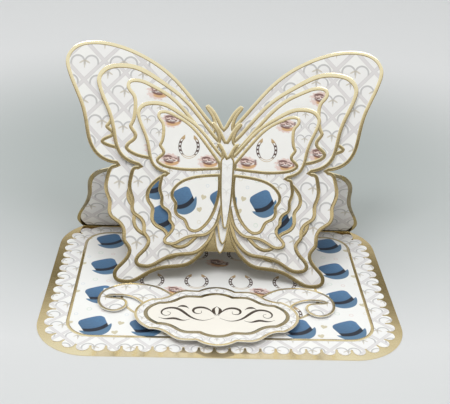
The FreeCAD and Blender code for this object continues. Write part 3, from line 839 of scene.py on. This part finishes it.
def inward(points):
    """Inward steps of an anticlockwise closed outline, longer at its corners.

    With m the sum of both sides' unit inward directions, a step is m over its length, times
    2 over that length or the corner reach, whichever is less.
    """
    back = points - np.roll(points, 1, axis=0)
    ahead = np.roll(points, -1, axis=0) - points
    turned = [np.stack([-d[:, 1], d[:, 0]], -1) / np.linalg.norm(d, axis=1)[:, None]
              for d in (back, ahead)]
    mean = turned[0] + turned[1]
    size = np.maximum(np.linalg.norm(mean, axis=1), TINY)[:, None]
    return mean / size * np.minimum(2.0 / size, CORNER_REACH)


def anticlockwise(points):
    """A closed outline, turned round where it runs clockwise."""
    x, y = points[:, 0], points[:, 1]
    area = np.sum(x * np.roll(y, -1) - y * np.roll(x, -1))
    return points if area > 0 else points[::-1]


# ---- making meshes


def new_object(name, data, place=Matrix()):
    """An object with its data, standing at a place in the scene."""
    thing = bpy.data.objects.new(name, data)
    thing.matrix_world = place
    bpy.context.scene.collection.objects.link(thing)
    return thing


def new_mesh(name, places, faces, material):
    """A smooth mesh object from places and faces."""
    mesh = bpy.data.meshes.new(name)
    mesh.vertices.add(len(places))
    mesh.vertices.foreach_set("co", np.asarray(places, np.float32).ravel())
    mesh.loops.add(faces.size)
    mesh.loops.foreach_set("vertex_index", faces.ravel().astype(np.int32))
    mesh.polygons.add(len(faces))
    mesh.polygons.foreach_set("loop_start", np.arange(0, faces.size, faces.shape[1],
                                                      dtype=np.int32))
    mesh.polygons.foreach_set("use_smooth", np.full(len(faces), True))
    mesh.update(calc_edges=True)
    mesh.validate()
    mesh.materials.append(material)
    return new_object(name, mesh)


def new_piece(name, parts, material):
    """One mesh object of several (places, faces); it rides the card and takes a slot."""
    starts = np.cumsum([0] + [len(places) for places, _ in parts])
    piece = new_mesh(name, np.concatenate([places for places, _ in parts]),
                     np.concatenate([faces + start for (_, faces), start in zip(parts, starts)]),
                     material)
    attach(piece, "root")


def grid_faces(rows, columns, closed=False):
    """Four-sided faces of a grid of points; where it is closed, its rows are rings."""
    row = np.arange(rows - 1)[:, None] * columns
    column = np.arange(columns if closed else columns - 1)[None]
    over = (column + 1) % columns
    quads = np.stack([row + column, row + over, row + columns + over, row + columns + column], -1)
    return quads.reshape(-1, 4)


def foil_line(plane, outline, width, crown, at_edge=False, wide=None):
    """A low rounded bead along an outline: a profile along a path.

    Across its width the height is lift + crown root of (1 - t to the fourth), so the line
    is flat on top and round at its edges. It is centred on the outline, or just inside it
    at a sheet's edge. With wide, it grows to another width between two shares of the
    sheet's height.
    """
    points = evenly(anticlockwise(outline), LINE_STEP)
    share = np.sin(np.linspace(-math.pi / 2, math.pi / 2, LINE_ROWS))
    widths = np.full(len(points), width)
    if wide:
        widths = np.interp(points[:, 1], np.multiply(wide[0], plane.height), (width, wide[1]))
    lift, inside, gap = (EDGE_LIFT, 1.0, EDGE_GAP) if at_edge else (PRINT_LIFT, 0.0, 0.0)
    offset = (share[:, None] + inside) / 2 * widths + gap
    height = lift + crown * np.sqrt(1 - share ** 4)
    flat = points[None] + inward(points)[None] * offset[..., None]
    spots = plane.place(flat, np.broadcast_to(height[:, None], flat.shape[:2]))
    return spots.reshape(-1, 3), grid_faces(len(share), len(points), closed=True)


def edge_piece(plane, width, foil, material, wide=None):
    """The gold line just inside a sheet's cut edge."""
    line = foil_line(plane, plane.loops()[0], width, foil.crown, at_edge=True, wide=wide)
    new_piece(plane.node + "_gold_line", [line], material)


def filled(plane, outline):
    """A flat panel inside an outline: straight lines from its middle to the outline."""
    points = evenly(anticlockwise(outline), FILL_STEP)
    middle = points.mean(axis=0)
    share = np.linspace(PANEL_MIDDLE, 1.0, PANEL_ROWS)
    flat = middle + (points - middle)[None] * share[:, None, None]
    spots = plane.place(flat, np.full(flat.shape[:2], PRINT_LIFT))
    return spots.reshape(-1, 3), grid_faces(len(share), len(points), closed=True)[:, ::-1]


def window_outlines(plane, rise):
    """Four closed outlines of the printed windows of a butterfly, in its plane."""
    found = {}
    for name, runs in (("upper", UPPER_WINDOW), ("lower", LOWER_WINDOW)):
        curve = np.concatenate([spline(run, CURVE_POINTS * len(run))[:-1] for run in runs])
        if name == "upper":
            curve = (curve - (0.0, WINDOW_FOOT)) * (1.0, rise) + (0.0, WINDOW_FOOT)
        found[name] = [curve * plane.grid * (sign, 1.0) for sign in (-1.0, 1.0)]
    return found


def pen_stroke(plane, points, middle, thick):
    """An inked stroke: a flat ribbon along a smooth curve, swelling in its middle.

    Its half width is 0.12 + 0.88 of the squared sine of pi t, times thick.
    """
    curve = spline(np.asarray(points) * MM, STROKE_POINTS * len(points))
    ahead = np.gradient(curve, axis=0)
    side = np.stack([-ahead[:, 1], ahead[:, 0]], -1) / np.linalg.norm(ahead, axis=1)[:, None]
    swell = thick * (0.12 + 0.88 * np.sin(np.linspace(0.0, math.pi, len(curve))) ** 2)
    share = np.linspace(-1.0, 1.0, STROKE_ROWS)
    flat = middle + curve[None] + side[None] * (share[:, None] * swell)[..., None]
    lift = np.broadcast_to(PEN_LIFT + PEN_SWELL * (1 - share[:, None] ** 2), flat.shape[:2])
    return plane.place(flat, lift).reshape(-1, 3), grid_faces(len(share), len(curve))[:, ::-1]


# ---- operators


class EASEL_OT_card_blank(bpy.types.Operator):
    """Mirror-gold card for the folded blank"""

    bl_idname = "easel.card_blank"
    bl_label = "Card blank"

    def execute(self, context):
        # under: the blank's faces that look down get painted shade
        dress("folded_card", gold_material("gold_card", context.scene.easel_foil, dents=0.2,
                                           under=True))
        return {"FINISHED"}


class EASEL_OT_butterflies(bpy.types.Operator):
    """Lattice print, printed windows and gold lines on the three stacked butterflies"""

    bl_idname = "easel.butterflies"
    bl_label = "Butterflies"

    def execute(self, context):
        foil, prints = context.scene.easel_foil, context.scene.easel_print
        gold_material("gold_foil", foil)
        for size, wing in WINGS.items():
            plane = Plane(size + "_butterfly", LOOKS_FORWARD)
            gold = gold_material("gold_foil_" + size, foil, lean=plane.up * wing["lean"])
            print_lattice(plane, "wing_print_" + size, prints, wing["lattice"],
                          plane.spot(wing["heart"]))
            windows = window_outlines(plane, wing["rise"])
            for kind, outlines in windows.items():
                material, w, inputs = new_material(f"{size}_{kind}_window_print")
                paper_finish(w, inputs, window_print(w, prints, plane, wing, kind))
                new_piece(f"{size}_{kind}_windows",
                          [filled(plane, outline) for outline in outlines], material)
            width = foil.small_line if size == "small" else foil.wing_line
            lines = [foil_line(plane, outline, width, foil.crown)
                     for pair in windows.values() for outline in pair]
            lines.append(foil_line(plane, plane.loops()[0], width, foil.crown, at_edge=True,
                                   wide=(TIP, wing["tip_line"] * width)))
            new_piece(f"{size}_gold_lines", lines, gold)
        return {"FINISHED"}


class EASEL_OT_bodies(bpy.types.Operator):
    """Pale bodies and antennae with a gold line round them"""

    bl_idname = "easel.bodies"
    bl_label = "Bodies"

    def execute(self, context):
        foil, prints = context.scene.easel_foil, context.scene.easel_print
        for size, wing in WINGS.items():
            plane = Plane(size + "_body", LOOKS_FORWARD)
            print_lattice(plane, "body_print_" + size, prints, wing["lattice"], (0.0, 0.0),
                          strength=BODY_PRINT)
            edge_piece(plane, foil.body_line, foil, bpy.data.materials["gold_foil_" + size],
                       wide=(NECK, ANTENNA_LINE * foil.body_line))
        return {"FINISHED"}


class EASEL_OT_base_toppers(bpy.types.Operator):
    """Printed lace and strut lining, and the hat and horseshoe panels with their gold lines"""

    bl_idname = "easel.base_toppers"
    bl_label = "Base toppers"

    def execute(self, context):
        foil, prints = context.scene.easel_foil, context.scene.easel_print
        for node in ("lace_topper", "strut_lining"):
            lattice_sheet(node, prints)
        for name, ink_of, width in (("hat", hat_print, foil.panel_line),
                                    ("horseshoe", horseshoe_print, foil.label_line)):
            plane = Plane(name + "_panel", LOOKS_UP)
            material, w, inputs = new_material(name + "_print")
            ink = ink_of(w, prints, w.on_sheet(plane))
            paper_finish(w, inputs, w.mix(plane.front_share(w), prints.paper, ink))
            dress(plane.node, material)
            edge_piece(plane, width, foil, bpy.data.materials["gold_foil"])
        return {"FINISHED"}


class EASEL_OT_plaque(bpy.types.Operator):
    """Scroll plaque, label and its plain panel, with gold lines and a penned flourish"""

    bl_idname = "easel.plaque"
    bl_label = "Scroll plaque"

    def execute(self, context):
        foil, prints = context.scene.easel_foil, context.scene.easel_print
        for node in ("scroll_plaque", "label_plate"):
            edge_piece(lattice_sheet(node, prints), foil.label_line, foil,
                       bpy.data.materials["gold_foil"])

        plane = Plane("label_panel", LOOKS_UP)
        material, w, inputs = new_material("cream_card")
        paper_finish(w, inputs, np.multiply(prints.paper, CREAM))
        dress(plane.node, material)
        # painted shade: the ring's gold is a darker copy of the foil
        edge_piece(plane, foil.label_ring, foil,
                   gold_material("gold_foil_antique", foil, shade=RING_SHADE))

        material, w, inputs = new_material("pen_ink")
        paper_finish(w, inputs, prints.script)
        middle = np.array([0.0, plane.height / 2])
        strokes = [pen_stroke(plane, [(sign * x, y) for x, y in stroke][::int(sign)], middle,
                              prints.pen / 2)
                   for stroke in FLOURISH for sign in (1.0, -1.0)]
        new_piece("label_flourish", strokes, material)
        return {"FINISHED"}


class EASEL_OT_foam(bpy.types.Operator):
    """Foam tape squares between the layers"""

    bl_idname = "easel.foam"
    bl_label = "Foam tape"

    def execute(self, context):
        material = foam_material()
        for node in sorted(NODES):
            if node.startswith("foam_"):
                dress(node, material)
        return {"FINISHED"}


def backdrop_material(stage):
    """Matt grey, with a painted shadow in a soft oval behind the card and a little painted shade
    in front of it.
    """
    material, w, inputs = new_material("backdrop")
    x, y, _ = w.split(w.place())
    # painted shadow: a darker oval behind the card; painted shade: a little darker in front
    away = w.length(w.join(w.times(x, SHADE_WIDTH), w.plus(y, -SHADE_BACK)))
    shade = w.most(w.eased(away, *SHADE_REACH, 1.0, 0.0),
                   w.eased(y, *FRONT_REACH, 0.0, FRONT_SHADE))
    w.feed_all(inputs, {"Base Color": w.mix(shade, stage.backdrop, stage.shade),
                        "Roughness": 0.9})
    return material


def light_bands(stage):
    """A world whose light changes with the height above level, in bands of the table."""
    world = bpy.data.worlds.new("sky")
    world.use_nodes = True
    w = Wiring(world.node_tree)
    _, back, rise = w.split(w.place("Generated"))
    bands = w.add("ShaderNodeValToRGB",
                  {0: w.plus(rise, w.times(w.plus(back, 1.0), stage.back_drop))})
    ramp = bands.color_ramp
    for degrees, name in BANDS:
        stop = ramp.elements.new(math.sin(math.radians(degrees)))
        stop.color = (*getattr(stage, name), 1.0)
    ramp.elements[0].color = (*stage.room, 1.0)
    ramp.elements[-1].color = (*stage.ceiling, 1.0)
    ground = next(n for n in world.node_tree.nodes if n.type == "BACKGROUND")
    w.feed_all(ground.inputs, {"Color": bands.outputs[0], "Strength": stage.sky})
    return world


class EASEL_OT_stage(bpy.types.Operator):
    """Pale floor and backdrop, soft lamps, and the camera"""

    bl_idname = "easel.stage"
    bl_label = "Stage"

    def execute(self, context):
        stage = context.scene.easel_stage
        width = np.linspace(-FLOOR_HALF, FLOOR_HALF, 25)
        bend = np.linspace(0.0, math.pi / 2, 17)
        depth = np.concatenate([FLOOR_FRONT, BEND_START + BEND * np.sin(bend), [WALL_TOP[0]]])
        height = np.concatenate([[0.0, 0.0], BEND - BEND * np.cos(bend), [WALL_TOP[1]]])
        places = np.stack(np.broadcast_arrays(width[None], depth[:, None], height[:, None]), -1)
        floor = new_mesh("backdrop", places.reshape(-1, 3), grid_faces(len(depth), len(width)),
                         backdrop_material(stage))

        for name, place, size in LAMPS:
            lamp = bpy.data.lights.new(name + "_lamp", "AREA")
            lamp.energy = getattr(stage, name)
            lamp.size = size
            aim = (Vector(LAMPS_AIM) - Vector(place)).to_track_quat("-Z", "Y")
            new_object(name + "_lamp", lamp,
                       Matrix.Translation(place) @ aim.to_matrix().to_4x4())

        context.scene.world = light_bands(stage)
        camera = bpy.data.cameras.new("camera")
        camera.lens = stage.lens
        camera.sensor_width = 36.0
        camera.sensor_fit = "HORIZONTAL"
        context.scene.camera = new_object(
            "camera", camera,
            Matrix.Translation(stage.camera_place)
            @ Matrix.Rotation(-stage.camera_turn, 4, "Z")
            @ Matrix.Rotation(math.pi / 2 - stage.camera_tilt, 4, "X")
            @ Matrix.Rotation(stage.camera_roll, 4, "Z"))
        context.scene.view_settings.view_transform = "Standard"
        return {"FINISHED"}


class EASEL_PT_panel(bpy.types.Panel):
    """The card's steps and settings"""

    bl_label = "Easel Card"
    bl_idname = "EASEL_PT_panel"
    bl_space_type = "VIEW_3D"
    bl_region_type = "UI"
    bl_category = "Easel Card"

    def draw(self, context):
        for step in STEPS:
            self.layout.operator(step.bl_idname)
        for name, settings in SETTINGS.items():
            box = self.layout.box()
            for field in settings.__annotations__:
                box.prop(getattr(context.scene, name), field)


STEPS = (EASEL_OT_card_blank, EASEL_OT_butterflies, EASEL_OT_bodies, EASEL_OT_base_toppers,
         EASEL_OT_plaque, EASEL_OT_foam, EASEL_OT_stage)
CLASSES = (*SETTINGS.values(), *STEPS, EASEL_PT_panel)


def register():
    for item in CLASSES:
        bpy.utils.register_class(item)
    for name, settings in SETTINGS.items():
        setattr(bpy.types.Scene, name, PointerProperty(type=settings))


def unregister():
    for name in SETTINGS:
        delattr(bpy.types.Scene, name)
    for item in reversed(CLASSES):
        bpy.utils.unregister_class(item)


def main():
    register()
    for step in STEPS:
        family, name = step.bl_idname.split(".")
        getattr(getattr(bpy.ops, family), name)()
    bpy.context.view_layer.update()


if __name__ == "__main__":
    main()
